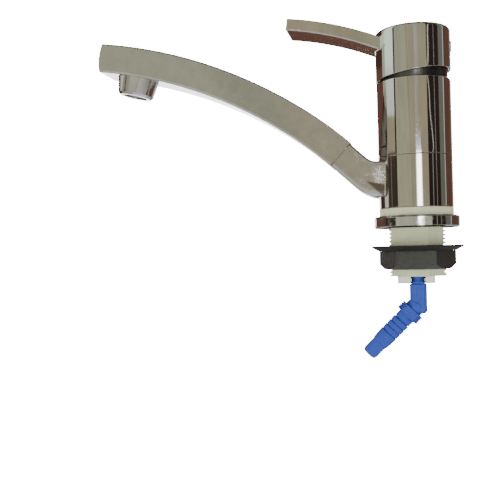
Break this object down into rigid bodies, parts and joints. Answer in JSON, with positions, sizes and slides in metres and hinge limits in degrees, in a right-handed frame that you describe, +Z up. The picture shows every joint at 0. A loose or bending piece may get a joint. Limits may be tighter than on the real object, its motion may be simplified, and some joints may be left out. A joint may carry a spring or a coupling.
{
  "type": "basin tap",
  "caption": "Single-lever basin tap with a swivelling curved spout, aerator, ceramic-disc cartridge, threaded shank with back nut and a push-in barbed hose tail.",
  "frame": {"origin": "on the tap's axis, in the plane of the base ring's underside, where the tap sits on the deck", "axes": "+Z up along the tap's axis, spout and lever towards -X, +Y to the hot side"},
  "size_m": [0.224, 0.0538, 0.207],
  "materials": {
    "core_plastic": "smooth moulded, pale green-beige",
    "chrome_ring": "polished chrome plate",
    "chrome_body": "polished chrome plate",
    "chrome_spout": "polished chrome plate",
    "chrome_aerator": "polished chrome plate",
    "chrome_dome": "polished chrome plate",
    "chrome_lever": "polished chrome plate",
    "seal_rubber": "black moulded rubber",
    "bearing_plastic": "white bearing plastic",
    "insert_plastic": "pale moulded plastic",
    "screen_steel": "perforated stainless steel",
    "cartridge_plastic": "off-white moulded plastic",
    "disc_ceramic": "lapped alumina",
    "nut_brass": "turned brass",
    "pin_steel": "stainless steel",
    "plug_plastic": "plain grey moulded plastic",
    "nut_plastic": "black moulded plastic",
    "clip_plastic": "ivory moulded plastic",
    "tail_plastic": "blue moulded plastic"
  },
  "bodies": {
    "tap_body": {"core_body": "core_plastic", "base_ring": "chrome_ring", "base_gasket": "seal_rubber", "glide_rings": "bearing_plastic", "collar_seals": "seal_rubber", "body_shell": "chrome_body", "cartridge_base": "cartridge_plastic", "port_seals": "seal_rubber", "fixed_disc": "disc_ceramic", "cartridge_housing": "cartridge_plastic", "cartridge_nut": "nut_brass", "dome_cover": "chrome_dome", "inlet_clip": "clip_plastic"},
    "spout": {"swivel_collar": "chrome_body", "spout_root": "chrome_spout", "spout_arm": "chrome_spout", "aerator_housing": "chrome_aerator", "aerator_washer": "seal_rubber", "aerator_insert": "insert_plastic", "aerator_screen": "screen_steel"},
    "turret": {"spindle_carrier": "cartridge_plastic", "pivot_pin": "pin_steel"},
    "lever": {"spindle": "pin_steel", "lever_handle": "chrome_lever", "grub_screw": "pin_steel", "index_plug": "plug_plastic"},
    "disc": {"moving_disc": "disc_ceramic", "disc_carrier": "cartridge_plastic"},
    "washer": {"clamp_washer": "nut_plastic"},
    "nut": {"back_nut": "nut_plastic"},
    "elbow": {"cold_elbow": "tail_plastic", "elbow_seal": "seal_rubber"},
    "tail": {"hose_tail": "tail_plastic", "tail_seal": "seal_rubber"}
  },
  "joints": [
    {"name": "spout_swivel", "type": "hinge", "parent": "tap_body", "child": "spout", "pos_m": [0, 0, 0.027], "axis": [0, 0, 1], "continuous": true},
    {"name": "lever_turn", "type": "hinge", "parent": "tap_body", "child": "turret", "pos_m": [0, 0, 0.0918], "axis": [0, 0, 1], "range_deg": [-50, 50]},
    {"name": "lever_lift", "type": "hinge", "parent": "turret", "child": "lever", "pos_m": [0, 0, 0.0918], "axis": [0, 1, 0], "range_deg": [0, 15]},
    {"name": "disc_slide", "type": "slide", "parent": "turret", "child": "disc", "axis": [-1, 0, 0], "range_m": [0, 0.0038]},
    {"name": "washer_slide", "type": "slide", "parent": "tap_body", "child": "washer", "axis": [0, 0, 1], "range_m": [-0.004, 0.01]},
    {"name": "nut_turn", "type": "hinge", "parent": "washer", "child": "nut", "pos_m": [0, 0, -0.0191], "axis": [0, 0, 1], "range_deg": [-624, 1560]},
    {"name": "elbow_swivel", "type": "hinge", "parent": "tap_body", "child": "elbow", "pos_m": [0, -0.007, -0.0449], "axis": [0, 0, 1], "continuous": true},
    {"name": "tail_swivel", "type": "hinge", "parent": "elbow", "child": "tail", "pos_m": [0, -0.007, -0.0449], "axis": [-0.7071, 0, -0.7071], "continuous": true}
  ],
  "couplings": [
    {"joint": "disc_slide", "follows": "lever_lift", "m_per_rad": 0.0145},
    {"joint": "nut_turn", "follows": "washer_slide", "rad_per_m": 2721.1}
  ]
}
